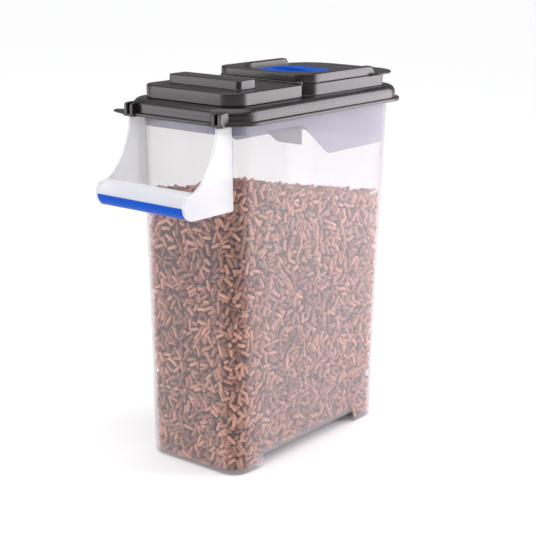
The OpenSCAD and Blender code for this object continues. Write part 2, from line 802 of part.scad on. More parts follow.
module lock_dial() {
    color([0.0, 0.30, 0.80]) place() translate([0, dial_y, 0]) difference() {
        union() {
            translate([0, 0, dial_z0]) cylinder(r = dial_r - edge, h = dial_top - dial_z0);
            translate([0, 0, dial_z0 + edge]) cylinder(r = dial_r, h = dial_top - dial_z0 - 2 * edge);
            // arched finger ridge across the dial
            intersection() {
                translate([0, 0, dial_z0]) cylinder(r = dial_r - 1, h = ridge_z - dial_z0);
                translate([0, ridge_half_y, ridge_z - ridge_r]) rotate([90, 0, 0])
                    cylinder(r = ridge_r, h = 2 * ridge_half_y, $fn = 180);
            }
            translate([0, 0, cam_z1]) cylinder(r = spindle_r, h = dial_z0 - cam_z1 + eps);
            translate([-square / 2, -square / 2, cam_z0]) cube([square, square, cam_t + eps]);
        }
        // finger dishes either side of the ridge
        both_rows() translate([0, dish_off, dial_z0 + dish_floor + dish_ball_r])
            sphere(r = dish_ball_r, $fn = 96);
        translate([0, 0, cam_z0 - past]) cylinder(r = screw_r, h = 8);
    }
}

module both_rows() { for (s = [0, 1]) mirror([0, s, 0]) children(); }

module dial_seal_ring() {
    color([0.10, 0.10, 0.11]) place() translate([0, dial_y, plate_z - ring_deep]) difference() {
        cylinder(r = ring_out, h = ring_deep + gap - run_fit);
        translate([0, 0, -past]) cylinder(r = ring_in, h = ring_deep + gap + 2 * past);
    }
}

// A spiral slot gives each bolt the same travel for every degree of turn
function cam_point(a, side) = (cam_r0 + bolt_travel * a / cam_turn + side) * [cos(a), -sin(a)];

module cam_slot() {
    steps = 18;
    polygon(concat(
        [for (i = [0:steps]) cam_point(cam_turn * i / steps, -cam_slot_half)],
        [for (i = [0:steps]) cam_point(cam_turn * (steps - i) / steps, cam_slot_half)]));
    for (a = [0, cam_turn]) translate(cam_point(a, 0)) circle(r = cam_slot_half);
}

module lock_cam() {
    fit = 0.05;
    color([0.85, 0.85, 0.86]) place() translate([0, dial_y, cam_z0])
        linear_extrude(cam_t) difference() {
            circle(r = cam_r);
            square(square + 2 * fit, center = true);
            for (a = [0, 180]) rotate(a) cam_slot();
        }
}

module cam_screw() {
    color([0.70, 0.71, 0.73]) place() translate([0, dial_y, cam_z0]) {
        difference() {
            translate([0, 0, -screw_head_t]) cylinder(r = screw_head_r, h = screw_head_t);
            for (a = [0, 90]) rotate(a)
                block([-2.2, -0.4, -screw_head_t - past], [2.2, 0.4, -screw_head_t + 0.9]);
        }
        cylinder(r = screw_r, h = 6.5);
    }
}

module latch_bolt() {
    translate([0, dial_y, 0]) {
        block([bolt_in, -bolt_half_y, bolt_z0], [bolt_out, bolt_half_y, bolt_z1]);
        translate([cam_r0, 0, bolt_z1 - eps]) cylinder(r = cam_pin_r, h = cam_t + eps);
    }
}

module latch_bolt_right() { color([0.85, 0.85, 0.86]) place() latch_bolt(); }

module latch_bolt_left() {
    color([0.85, 0.85, 0.86]) place() mirror([1, 0, 0]) latch_bolt();
}

module latch_cover() {
    rail_in = bolt_half_y + bolt_clear;
    color([0.85, 0.85, 0.86]) place() translate([0, dial_y, 0]) difference() {
        union() {
            translate([0, 0, cover_z0]) linear_extrude(cover_t)
                rounded(-cover_half_x, cover_half_x, -cover_half_y, cover_half_y, 4, 4);
            both_rows() both_sides()
                block([bolt_in, rail_in, cover_z1 - eps], [cover_half_x, rail_in + 1.8, bolt_z1]);
        }
        for (x = [-1, 1], y = [-1, 1]) translate([x * cover_screw_x, y * cover_screw_y, cover_z0 - past])
            cylinder(r = cover_screw_r + 0.2, h = 9);
    }
}

module latch_cover_screws() {
    color([0.70, 0.71, 0.73]) place()
        for (x = [-1, 1], y = [-1, 1])
            translate([x * cover_screw_x, dial_y + y * cover_screw_y, cover_z0]) {
                difference() {
                    translate([0, 0, -1.4]) cylinder(r = 2.5, h = 1.4);
                    for (a = [0, 90]) rotate(a) block([-1.6, -0.3, -3], [1.6, 0.3, -0.7]);
                }
                translate([0, 0, -eps]) cylinder(r = cover_screw_r, h = 7.5);
            }
}

tub();
feed_pellets();
handle_frame();
grip_insert();
lid_shell();
lid_gasket();
liner_collar();
collar_screws();
fill_cap();
fill_cap_seal();
fill_cap_hinge_pins();
hatch_lid();
hatch_seal();
hatch_hinge_pins();
lock_dial();
dial_seal_ring();
lock_cam();
cam_screw();
latch_bolt_right();
latch_bolt_left();
latch_cover();
latch_cover_screws();
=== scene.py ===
"""Tall translucent feed bin with a front handle, a black lift-off lid, a hinged fill cap and a
hinged pour hatch with a blue quarter-turn lock. Sizes are millimetres about the tub's centre
line on the floor, unless a name ends in _M; the meshes are written in metres."""

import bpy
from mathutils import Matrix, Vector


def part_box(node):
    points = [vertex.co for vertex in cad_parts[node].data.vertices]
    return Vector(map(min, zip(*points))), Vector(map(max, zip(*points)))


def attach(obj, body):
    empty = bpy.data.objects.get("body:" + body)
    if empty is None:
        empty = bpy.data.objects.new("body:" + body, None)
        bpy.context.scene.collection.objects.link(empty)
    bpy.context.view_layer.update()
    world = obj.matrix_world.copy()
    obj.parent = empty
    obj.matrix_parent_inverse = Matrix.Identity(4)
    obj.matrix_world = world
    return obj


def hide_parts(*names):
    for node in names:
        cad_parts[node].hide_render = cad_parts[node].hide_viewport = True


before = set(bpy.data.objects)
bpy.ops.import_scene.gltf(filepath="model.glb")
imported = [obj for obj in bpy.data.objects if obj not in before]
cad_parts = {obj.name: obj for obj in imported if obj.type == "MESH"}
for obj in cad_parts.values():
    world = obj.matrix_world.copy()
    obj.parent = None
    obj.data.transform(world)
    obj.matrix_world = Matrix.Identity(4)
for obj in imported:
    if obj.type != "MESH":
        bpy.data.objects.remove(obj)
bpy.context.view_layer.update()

import math

import bmesh
import bpy
import numpy as np
from mathutils import Matrix, Vector
from mathutils.geometry import tessellate_polygon

# ---------------------------------------------------------------- tub
# One injection-moulded shell of natural polypropylene, milky but see-through. It tapers to the
# floor for draft, stands on two feet with an arch between them, and ends in a beaded rim.
MM = 0.001
tub_low, tub_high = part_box("tub")
CENTRE_M = np.array([(tub_low.x + tub_high.x) / 2, (tub_low.y + tub_high.y) / 2, 0.0])


def near(node):
    """Lowest and highest corner of a frame node, in millimetres about the tub's centre line."""
    low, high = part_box(node)
    return (np.array(low) - CENTRE_M) / MM, (np.array(high) - CENTRE_M) / MM


class Shell:
    """The faces of one moulded piece, gathered surface by surface."""

    def __init__(self):
        """Starts with nothing in it."""
        self.points, self.faces, self.count = [], [], 0

    def add(self, points, faces):
        """Takes in points [n, xyz] and the faces between them, numbered after those it has."""
        points = np.asarray(points, float).reshape(-1, 3)
        self.points.append(points)
        self.faces += [[self.count + int(i) for i in face] for face in faces]
        self.count += len(points)

    def grid(self, rows, around=True, ring=False):
        """Four-sided faces between neighbouring rows of points [row, column, xyz]."""
        rows = np.asarray(rows, float)
        index = np.arange(rows.shape[0] * rows.shape[1]).reshape(rows.shape[:2])
        if around:
            index = np.column_stack([index, index[:, 0]])
        if ring:
            index = np.vstack([index, index[:1]])
        quads = np.stack([index[:-1, :-1], index[:-1, 1:], index[1:, 1:], index[1:, :-1]], -1)
        self.add(rows, quads.reshape(-1, 4))

    def lid_on(self, loop):
        """One flat face inside a loop."""
        self.add(loop, [range(len(loop))])

    def plate(self, *loops):
        """A flat face inside the first loop, with the other loops as holes."""
        rings = [[Vector(point) for point in loop] for loop in loops]
        self.add(np.concatenate(loops), tessellate_polygon(rings))

    def moulding(self, *rows):
        """A closed solid: rows of loops from the underside to the top, with both ends shut."""
        rows = np.concatenate([np.asarray(r, float).reshape(-1, *np.shape(r)[-2:]) for r in rows])
        self.grid(rows)
        self.lid_on(rows[0])
        self.lid_on(rows[-1])


CREASE = 38  # degrees, past which an edge is shaded sharp


def piece(name, shell, finish, body, stands_for=(), crease=CREASE, bevel=None):
    """Welds a shell into one smooth-shaded object with its faces outwards, and puts it on its
    body. Its sharp edges are rounded by bevel millimetres, where that is given."""
    mesh = bpy.data.meshes.new(name)
    mesh.from_pydata(np.concatenate(shell.points) * MM + CENTRE_M, [], shell.faces)
    work = bmesh.new()
    work.from_mesh(mesh)
    bmesh.ops.remove_doubles(work, verts=work.verts, dist=2e-6)
    bmesh.ops.dissolve_degenerate(work, edges=work.edges, dist=1e-7)
    bmesh.ops.recalc_face_normals(work, faces=work.faces)
    work.to_mesh(mesh)
    work.free()
    mesh.polygons.foreach_set("use_smooth", np.ones(len(mesh.polygons), bool))
    mesh.set_sharp_from_angle(angle=math.radians(crease))
    mesh.materials.append(finish.material)
    made = bpy.data.objects.new(name, mesh)
    bpy.context.scene.collection.objects.link(made)
    if bevel:
        rounding = made.modifiers.new("edges", "BEVEL")
        rounding.width, rounding.segments = bevel * MM, 2
        rounding.limit_method, rounding.angle_limit = "ANGLE", math.radians(crease)
    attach(made, body)
    if stands_for:
        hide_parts(*stands_for)
    return made


def outline(half_x, y0, y1, front_r, rear_r=None, side=(), corner=9):
    """A rounded rectangle seen from above, anticlockwise: right front corner, right side with its
    stations, right rear corner, then the same mirrored on the left."""
    rear_r = front_r if rear_r is None else rear_r
    turn = np.radians(np.linspace(-90, 0, corner))
    front = np.column_stack([half_x - front_r + front_r * np.cos(turn),
                             y0 + front_r + front_r * np.sin(turn)])
    rear = np.column_stack([half_x - rear_r + rear_r * np.cos(turn + np.pi / 2),
                            y1 - rear_r + rear_r * np.sin(turn + np.pi / 2)])
    straight = np.column_stack([np.full(len(side), half_x), np.asarray(side, float)])
    right = np.concatenate([front, straight.reshape(-1, 2), rear])
    return np.concatenate([right, (right * [-1, 1])[::-1]])


def at_height(loop, z):
    """A plan outline lifted to a height, or to one height for each of its points."""
    return np.column_stack([loop, np.broadcast_to(z, len(loop))])


def bend(out, up, r, start, end, steps=5):
    """Profile points on an arc about (out, up): 0 degrees points outwards and 90 up."""
    a = np.radians(np.linspace(start, end, steps))
    return [(out + r * c, up + r * s) for c, s in zip(np.cos(a), np.sin(a))]


class Wire:
    """A number inside a material. Arithmetic on it adds the Math nodes that work it out."""

    def __init__(self, finish, socket):
        """Holds the output socket of a node in a finish."""
        self.finish, self.socket = finish, socket

    def math(self, operation, first, second):
        """One Math node on two numbers or wires."""
        values = {0: first, 1: second}
        return self.finish.node("ShaderNodeMath", {"operation": operation}, values)

    def __add__(self, other):
        """wire + other"""
        return self.math("ADD", self, other)

    def __mul__(self, other):
        """wire * other"""
        return self.math("MULTIPLY", self, other)

    def __sub__(self, other):
        """wire - other"""
        return self.math("SUBTRACT", self, other)

    def __rsub__(self, other):
        """other - wire"""
        return self.math("SUBTRACT", other, self)

    def __pow__(self, other):
        """wire to the power of other"""
        return self.math("POWER", self, other)

    __radd__, __rmul__ = __add__, __mul__


class Finish:
    """One material: what is the same all over goes straight into the shader's sockets, and node()
    adds what varies."""

    def __init__(self, name, **fixed):
        """A new material; each keyword is a socket of its shader, with _ for a space."""
        self.material = bpy.data.materials.new(name)
        self.material.use_nodes = True
        self.tree = self.material.node_tree
        self.shader = self.tree.nodes["Principled BSDF"]
        for socket, value in fixed.items():
            self.shader.inputs[socket.replace("_", " ")].default_value = value

    def node(self, kind, settings=None, values=None, output=0):
        """Any node: its settings first, then the value or the wire of each of its sockets."""
        made = self.tree.nodes.new(kind)
        for key, value in (settings or {}).items():
            setattr(made, key, value)
        for key, value in (values or {}).items():
            if isinstance(value, Wire):
                self.tree.links.new(value.socket, made.inputs[key])
            else:
                made.inputs[key].default_value = value
        return Wire(self, made.outputs[output])

    def noise(self, size, detail=3.0, roughness=0.5, stretch=(1, 1, 1)):
        """Soft noise about size millimetres across, from 0 to 1."""
        place = self.node("ShaderNodeTexCoord", output="Object")
        scaled = self.node("ShaderNodeMapping", {}, {"Vector": place, "Scale": stretch})
        values = {"Vector": scaled, "Scale": 1 / (size * MM), "Detail": detail,
                  "Roughness": roughness}
        return self.node("ShaderNodeTexNoise", {}, values)

    def between(self, low, high, share):
        """The colour that lies share of the way from low to high."""
        factor, colour_a, colour_b, colour_out = 0, 6, 7, 2
        values = {factor: share, colour_a: (*low, 1), colour_b: (*high, 1)}
        return self.node("ShaderNodeMix", {"data_type": "RGBA"}, values, colour_out)

    def feed(self, **links):
        """Leads wires into the shader's sockets, named with _ for a space."""
        for socket, wire in links.items():
            self.tree.links.new(wire.socket, self.shader.inputs[socket.replace("_", " ")])
        return self

    def bump(self, height, depth, strength=1.0):
        """Relief of about depth millimetres."""
        values = {"Height": height, "Distance": depth * MM, "Strength": strength}
        return self.feed(Normal=self.node("ShaderNodeBump", {}, values))


def moulded(name, dark, light, rough, grain=0.5, relief=0.015, **fixed):
    """Moulded plastic: a slow drift of tone, and the fine grain of the mould's steel. Roughness
    is rough + 0.10 (grain - 1/2) + 0.06 (drift - 1/2)."""
    made = Finish(name, **fixed)
    drift = made.noise(26, 2.0)
    fine = made.noise(grain, 2.0)
    made.feed(Base_Color=made.between(dark, light, drift))
    made.feed(Roughness=rough + 0.10 * (fine - 0.5) + 0.06 * (drift - 0.5))
    return made.bump(fine, relief)


def milky(name, dark, light, rough, clear, edge, **fixed):
    """See-through polypropylene: a thin milky film that thickens where the wall is seen edge on,
    with faint flow marks from the gate. Its cover is clear + (edge - clear) facing squared +
    0.03 (flow - 1/2), where facing is 0 seen square and 1 seen edge on."""
    made = moulded(name, dark, light, rough, grain=1.2, relief=0.01, **fixed)
    facing = made.node("ShaderNodeLayerWeight", {}, {"Blend": 0.5}, output="Facing")
    flow = made.noise(40, 2.0, stretch=(1, 1, 0.35))
    return made.feed(Alpha=clear + (edge - clear) * facing ** 2 + 0.03 * (flow - 0.5))


# The tub's faint pinkish emission is a painted glow: it stands in for light that comes through the
# milky walls.
natural = milky("natural_polypropylene", dark=(0.43, 0.39, 0.41), light=(0.50, 0.46, 0.48),
                rough=0.22, clear=0.075, edge=0.78, IOR=1.49, Specular_IOR_Level=0.3,
                Emission_Color=(0.95, 0.88, 0.90, 1), Emission_Strength=0.08)

rim_top = tub_high.z / MM
rim_bead, rim_h = 4, 9.5
mouth = (tub_high.x - CENTRE_M[0]) / MM - rim_bead
mouth_y = (tub_high.y - CENTRE_M[1]) / MM - rim_bead
mouth_z = rim_top - rim_h
# half the width, half the length and the corner radius of the outside, at the mouth and the floor
MOUTH = np.array([mouth, mouth_y, 28.0])
BASE = np.array([66.8, 134.9, 21.7])
wall, floor_t, arch_h, foot_length = 2.0, 2.4, 13.5, 47
foot_inner = BASE[1] - foot_length
step_half = 0.8


def tub_loop(inset, z, bottom=None):
    """The tub's tapered outline at a height: a straight blend from BASE to MOUTH, set in from the
    outside. Where bottom is given, z is counted from the arched underside, whose step up at each
    foot is a smooth one, 3 rise squared - 2 rise cubed, over twice step_half."""
    level = z if bottom is None else bottom
    half_x, half_y, r = BASE + (MOUTH - BASE) * level / mouth_z - inset
    step_at = foot_inner + (0 if inset < wall else wall)
    step = step_at + step_half * np.linspace(-1, 1, 9)
    side = np.concatenate([-step[::-1], np.linspace(-60, 60, 5), step])
    loop = outline(half_x, -half_y, half_y, r, side=side)
    if bottom is None:
        return at_height(loop, z)
    rise = np.clip((step_at + step_half - np.abs(loop[:, 1])) / (2 * step_half), 0, 1)
    return at_height(loop, z + arch_h * rise * rise * (3 - 2 * rise))


def bottom_rows(radius, inset, floor, steps=6):
    """Loops that round a bottom edge: in by radius at the floor, out to the wall above it."""
    return [tub_loop(inset + radius - radius * math.sin(a), floor + radius * (1 - math.cos(a)), 0)
            for a in np.radians(np.linspace(0, 90, steps))]


def underside(loop):
    """The floor between the right and the left half of a bottom loop."""
    half = len(loop) // 2
    return np.stack([loop[:half], loop[half:][::-1]], 1)


handle_low, handle_high = near("handle_frame")
cheek_t = 3.2
cheek_x = handle_high[0] - cheek_t / 2
tub = Shell()
outside = bottom_rows(4.5, 0, 0)
inside = bottom_rows(3.5, wall, floor_t)
bead_r, lip_r, bead_z = 1, 0.8, mouth_z + 5
# the rim, as (outwards, up): a fine relief, under, round and over the bead, then the inner lip
rim = [*bend(-lip_r, bead_z - lip_r, lip_r, 45, 45, 1),
       *bend(rim_bead - bead_r, bead_z + bead_r, bead_r, -90, 0, 4),
       *bend(rim_bead - bead_r, rim_top - bead_r, bead_r, 0, 90, 4),
       *bend(lip_r - wall, rim_top - lip_r, lip_r, 90, 180, 4)]
rim_profile = [(0, 20), (0, bead_z - lip_r), *[(-out, up) for out, up in rim],
               (wall, mouth_z), (wall, 21)]
tub.grid([*outside, *[tub_loop(inset, z) for inset, z in rim_profile], *inside[::-1]])
tub.grid(underside(outside[0]), around=False)
tub.grid(underside(inside[0]), around=False)
rail_z0 = handle_low[2] + 3.5
for s in (-1, 1):
    # thin upright rails on which the handle slides
    rail = outline(0.6, -(mouth_y + 1.2), -(mouth_y - 11), 0.3) + [s * cheek_x, 0]
    tub.moulding([at_height(rail, rail_z0), at_height(rail, mouth_z - 6)])
piece("tub_wall", tub, natural, "bin", ["tub"])

# ---------------------------------------------------------------- feed
# Pressed brown pellets, about 4 mm across and 4 to 14 mm long. They are loose in the tub: the
# ones that show lie against the walls and on top, round a core whose near-black brown is painted
# shade: it stands for the rest of the feed, deep in shadow.
pellet_r = 2.0
longest, shortest = 14, 5
feed_peak, feed_rear = 339, 279
feed_slope = (feed_rear - feed_peak) / (2 * mouth_y)
side_slope = 0.22


def feed_top(x, y):
    """Height of the feed: a sloping plane, highest in the right front corner, and falling to the
    rear by feed_slope and to the left by side_slope for each millimetre."""
    return feed_peak + feed_slope * (y + mouth_y) + side_slope * (x - MOUTH[0])


# each pellet's own tone, mottled with fine specks and a slow drift
pellet = Finish("pressed_pellets", IOR=1.45)
tone = pellet.node("ShaderNodeAttribute", {"attribute_name": "tone"}, output="Fac")
speck = pellet.noise(1.1, 4.0, 0.65)
blotch = pellet.noise(7.0, 2.0)
shade = pellet.node("ShaderNodeMapRange", {"clamp": True},
                    {"Value": 0.55 * tone + 0.45 * speck + 0.2 * (blotch - 0.5),
                     "From Min": 0.18, "From Max": 0.82})
pellet.feed(Base_Color=pellet.between((0.20, 0.062, 0.034), (0.84, 0.43, 0.29), shade))
pellet.feed(Roughness=0.72 + 0.2 * (speck - 0.5))
pellet.bump(speck, 0.35)

# The core's colour is painted shade: a mottled near-black brown for the shadowed feed deeper in.
core_shade = Finish("feed_core_painted_shade", IOR=1.4)
core_mottle = core_shade.noise(4.0, 5.0, 0.7)
core_shade.feed(Base_Color=core_shade.between((0.02, 0.009, 0.006), (0.11, 0.048, 0.03), core_mottle))
core_shade.feed(Roughness=0.85 + 0.1 * (core_mottle - 0.5)).bump(core_mottle, 1.2)

core = Shell()
core_in, core_deep = wall + 5.5, 11
core_rows = [tub_loop(core_in, floor_t + 2, 0), tub_loop(core_in, 30)]
core_top = tub_loop(core_in, 300)
core_top[:, 2] = feed_top(core_top[:, 0], core_top[:, 1]) - core_deep
core.grid([*core_rows, core_top])
core.grid(underside(core_rows[0]), around=False)
core.grid(underside(core_top), around=False)
piece("feed_core", core, core_shade, "bin", ["feed_pellets"])

mid_z = 200
wall_loop = tub_loop(wall, mid_z)[:, :2]
wall_loop = np.vstack([wall_loop, wall_loop[:1]])
steps_along = np.linalg.norm(np.diff(wall_loop, axis=0), axis=1)
along = np.concatenate([[0], np.cumsum(steps_along)])
girth = along[-1]


def against_wall(flat):
    """Takes (distance round the wall, height, depth from it) to a point in the tub, by walking
    round the inner outline and stepping in along its normal, with the walls' taper added."""
    s, z, deep = flat[..., 0] % girth, flat[..., 1], flat[..., 2]
    x = np.interp(s, along, wall_loop[:, 0])
    y = np.interp(s, along, wall_loop[:, 1])
    ahead = (s + 1) % girth
    dx = np.interp(ahead, along, wall_loop[:, 0]) - x
    dy = np.interp(ahead, along, wall_loop[:, 1]) - y
    size = np.maximum(np.hypot(dx, dy), 1e-6)
    draft = (z - mid_z) / mouth_z * (MOUTH[:2] - BASE[:2])[:, None]
    x, y = x - deep * dy / size, y + deep * dx / size
    return np.stack([x * (1 + draft[0] / MOUTH[0]), y * (1 + draft[1] / MOUTH[1]), z], -1)


def scatter(rng, size, tries, tilt):
    """Pellets dropped one at a time into a slab, the long ones first, and kept where they find
    room. A grid of small cells remembers what is taken: each pellet takes the cells within
    room_r of its middle line, and the next one's middle line must miss them. Returns each one's
    centre, direction and length."""
    cell, margin, far, room_r = 1.25, 12, 3, 1.45 * pellet_r
    taken = np.zeros(np.ceil(np.array(size) / cell).astype(int) + 2 * margin, bool)
    reach = np.indices([2 * far + 1] * 3).reshape(3, -1).T - far
    reach = reach[(reach ** 2).sum(1) <= (room_r / cell) ** 2]
    centre = rng.random((tries, 3)) * size
    turn, lean = rng.random(tries) * np.pi, rng.normal(0, tilt, tries)
    ways = np.column_stack([np.cos(turn), np.sin(turn), lean])
    ways /= np.linalg.norm(ways, axis=1)[:, None]
    lengths = np.linspace(longest, shortest, tries) * rng.uniform(0.8, 1, tries)
    samples = np.linspace(-0.42, 0.42, 8)[:, None]
    kept = []
    for i in range(tries):
        line = centre[i] + samples * ways[i] * lengths[i]
        cells = np.floor(line / cell).astype(int) + margin
        if taken[tuple(cells.T)].any():
            continue
        spread = (cells[:, None] + reach).reshape(-1, 3)
        taken[tuple(spread.T)] = True
        kept.append(i)
    return centre[kept], ways[kept], lengths[kept]


def pellets(name, rng, ends, chosen=slice(None)):
    """Eight-sided rods between pairs of end points. Each has a ring at both ends, drawn in where
    they are worn, a ring just inside each, a bow of 1 - (2 share - 1) squared, and its own tone."""
    first, last = ends[0][chosen], ends[1][chosen]
    axis = last - first
    length = np.linalg.norm(axis, axis=1)[:, None]
    axis = axis / length
    across = np.cross(axis, rng.normal(size=axis.shape))
    across /= np.linalg.norm(across, axis=1)[:, None]
    up = np.cross(axis, across)
    turn = np.arange(8) * np.pi / 4
    thick = pellet_r * rng.uniform(0.9, 1.08, len(first))
    worn, worn_width, bow_by = 0.7 / length, 0.72, 0.35
    start = np.zeros_like(worn)
    rings = []
    for share, width in ((start, worn_width), (worn, 1), (1 - worn, 1), (1 - start, worn_width)):
        bow = bow_by * (1 - (2 * share - 1) ** 2)
        spine = first + axis * length * share + up * bow
        ring = across[:, None] * np.cos(turn)[:, None] + up[:, None] * np.sin(turn)[:, None]
        rings.append(spine[:, None] + ring * (thick * width)[:, None, None])
    points = np.stack(rings, 1).reshape(-1, 3)
    per_pellet = 32
    i = np.arange(8)
    band = np.stack([i, (i + 1) % 8, (i + 1) % 8 + 8, i + 8], 1)
    cap = np.array([[0, 3, 2, 1], [0, 7, 4, 3], [4, 7, 6, 5]])
    one = np.concatenate([band, band + 8, band + 16, cap, cap[:, ::-1] + 24])
    faces = (np.arange(len(first))[:, None, None] * per_pellet + one).reshape(-1, 4)
    mesh = bpy.data.meshes.new(name)
    mesh.from_pydata(points * MM + CENTRE_M, [], faces)
    mesh.polygons.foreach_set("use_smooth", np.ones(len(mesh.polygons), bool))
    mesh.set_sharp_from_angle(angle=math.radians(50))
    mesh.attributes.new("tone", "FLOAT", "POINT").data.foreach_set(
        "value", np.repeat(rng.random(len(first)), per_pellet).astype(np.float32))
    mesh.materials.append(pellet.material)
    made = bpy.data.objects.new(name, mesh)
    bpy.context.scene.collection.objects.link(made)
    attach(made, "bin")


def ends_of(centre, ways, lengths):
    """Both ends of each pellet: its centre, less and plus half its length along its direction."""
    half = ways * (lengths / 2)[:, None]
    return np.array((centre - half, centre + half))


# the pellets at the walls: (round the wall, up, in from it), then bent round the inside
rng = np.random.default_rng(11)
layer, skin, wall_tries, wall_tilt = 6.5, 0.45, 200000, 0.14
slab = (girth, feed_peak - 3, layer)
ends = ends_of(*scatter(rng, slab, wall_tries, wall_tilt))
ends[..., 2] = np.clip(ends[..., 2], 0, 8) + pellet_r + skin
placed = against_wall(ends)
over_foot = np.abs(placed[..., 1]) > foot_inner + wall + 3
under = np.where(over_foot, floor_t, floor_t + arch_h)
over_floor = placed[..., 2] - under - pellet_r - 0.4
below_top = placed[..., 2] < feed_top(placed[..., 0], placed[..., 1]) - 2
fits = ((over_floor > -4) & below_top).all(0)
placed[..., 2] -= np.minimum(over_floor, 0)
placed = placed[:, fits]
lots = 5
lot_of = np.arange(placed.shape[1]) * lots // placed.shape[1]
for lot in range(lots):
    pellets(f"pellets_at_wall_{lot + 1}", rng, placed, lot_of == lot)

# the pellets on top: scattered on a flat slab, kept inside the tub, then laid on the slope
top_x, top_y, top_deep, top_corner = MOUTH[0] - 11, MOUTH[1] - 12, core_deep, 22
top_tries, top_tilt = 24000, 0.3
ends = ends_of(*scatter(rng, (2 * top_x, 2 * top_y, top_deep), top_tries, top_tilt))
ends -= [top_x, top_y, 0]
level, clear = 0.7, wall + pellet_r + 0.6
limit_x, limit_y = (BASE + (MOUTH - BASE) * level - clear)[:2]
corner_x = np.clip(np.abs(ends[..., 0]) - (limit_x - top_corner), 0, None)
corner_y = np.clip(np.abs(ends[..., 1]) - (limit_y - top_corner), 0, None)
fits = (np.hypot(corner_x, corner_y) < top_corner).all(0)
ends = ends[:, fits]
mound = 2.5 * np.cos(ends[..., 0] / 30) * np.cos(ends[..., 1] / 47)
ends[..., 2] += feed_top(ends[..., 0], ends[..., 1]) - top_deep + mound
pellets("pellets_on_top", rng, ends)

# ---------------------------------------------------------------- handle
# A milky white moulding with two flat cheeks and the upper half of the grip between them. It
# slides down on the tub's rails, and the lid's ribs close over its top.
white = milky("milky_white_polypropylene", dark=(0.77, 0.78, 0.81), light=(0.84, 0.85, 0.88),
              rough=0.30, clear=0.50, edge=0.90, IOR=1.49, Specular_IOR_Level=0.25,
              Subsurface_Weight=0.15, Subsurface_Radius=(0.01, 0.01, 0.012))
cheek_top, cheek_foot = handle_high[2], handle_low[2]
nose_r = 14.6
grip_y, grip_z, grip_r, grip_wall = handle_low[1] + nose_r, cheek_foot + nose_r, 14.0, 2.6
lead_y, lead_z = mouth_y + 15, cheek_top
tail_out = 9.5
tail_y, tail_z = tail_out - grip_y, grip_z + math.sqrt(nose_r ** 2 - tail_out ** 2) + 0.4


def cheek_front(steps=26):
    """The cheek's front edge, as (y, z): a hollow curve whose height falls as a sine and whose
    reach grows as (1 - cosine) to the power 0.85, then an arc round the nose."""
    t = np.radians(np.linspace(0, 90, steps))
    curve = np.column_stack([-(lead_y + (tail_y - lead_y) * (1 - np.cos(t)) ** 0.85),
                             lead_z - (lead_z - tail_z) * np.sin(t)])
    start = math.degrees(math.atan2(tail_z - grip_z, -tail_out))
    a = np.radians(np.linspace(start + 8, 270, 16))
    nose = np.column_stack([grip_y + nose_r * np.cos(a), grip_z + nose_r * np.sin(a)])
    return np.concatenate([curve, nose])


def tub_front(x, z):
    """Y of the tub's outside at the front, for a distance x from the centre: flat, and on the
    corner's circle past where that begins."""
    half_x, half_y, r = [b + (m - b) * z / mouth_z for b, m in zip(BASE, MOUTH)]
    along_corner = np.clip(np.abs(x) - (half_x - r), 0, None)
    return -(half_y - r) - np.sqrt(r ** 2 - along_corner ** 2)


def cheek(side):
    """A flat plate whose rows run straight from its front edge back to the tub's outside, with
    two faces and a border round them that is chamfered by soft."""
    edge = cheek_front()
    edge = edge[np.argsort(-edge[:, 1], kind="stable")]
    rows, columns, soft = len(edge), 14, 0.7
    share = np.linspace(0, 1, columns)[None, :, None]
    made = []
    for x, by in ((-cheek_t / 2, soft), (soft - cheek_t / 2, 0), (cheek_t / 2 - soft, 0),
                  (cheek_t / 2, soft)):
        root_y = tub_front(cheek_x + x, edge[:, 1]) - 0.05
        front = edge.copy()
        front[:, 0] += by
        front[:, 1] = np.clip(front[:, 1], cheek_foot + by, cheek_top - by)
        root = np.column_stack([root_y, front[:, 1]])
        sheet = front[:, None] + (root - front)[:, None] * share
        at_x = np.full((rows, columns, 1), side * (cheek_x + x))
        made.append(np.concatenate([at_x, sheet], 2))
    shell.grid(made[0], around=False)
    shell.grid(made[3], around=False)
    border = [np.concatenate([m[:, 0], m[-1, 1:], m[::-1][1:, -1], m[0, ::-1][1:-1]]) for m in made]
    shell.grid(border)


def across(section, stations):
    """Rows of loops: one section (y, z) repeated at each station along X."""
    section = np.asarray(section, float)
    rows = np.empty((len(stations), len(section), 3))
    rows[..., 0] = np.reshape(stations, (-1, 1))
    rows[..., 1:] = section
    return rows


def part_tube(r, wall_t, start, end, half):
    """Part of a tube along X: the section between two arcs, carried from side to side."""
    outer = np.radians(np.linspace(start, end, 25))
    inner = outer[::-1]
    section = np.concatenate([
        np.column_stack([r * np.cos(outer), r * np.sin(outer)]),
        np.column_stack([(r - wall_t) * np.cos(inner), (r - wall_t) * np.sin(inner)])])
    shell.moulding(across(section + [grip_y, grip_z], (-half, 0, half)))


shell = Shell()
for s in (-1, 1):
    cheek(s)
part_tube(grip_r, grip_wall, 0, 180, cheek_x - cheek_t / 2 + 0.2)
piece("handle_moulding", shell, white, "bin", ["handle_frame"], crease=32)

# ---------------------------------------------------------------- grip
# The grip's lower half: a blue moulding, half a tube that reaches from cheek to cheek. It snaps
# up into the white half with two tongues that lie against its inside.
blue = moulded("blue_plastic", dark=(0.0, 0.062, 0.40), light=(0.0, 0.080, 0.48), rough=0.36,
               IOR=1.45, Specular_IOR_Level=0.1)
shell = Shell()
grip_half = near("grip_insert")[1][0]
seam, tongue_t, tongue_short = 0.4, 1.5, 4
tongues = (-18, 24), (156, 198)  # degrees round the tube
part_tube(grip_r, grip_wall, 180 + seam, 360 - seam, grip_half)
for tongue in tongues:
    part_tube(grip_r - grip_wall - 0.1, tongue_t, *tongue, grip_half - tongue_short)
piece("grip_lower_half", shell, blue, "bin", ["grip_insert"], bevel=0.3)

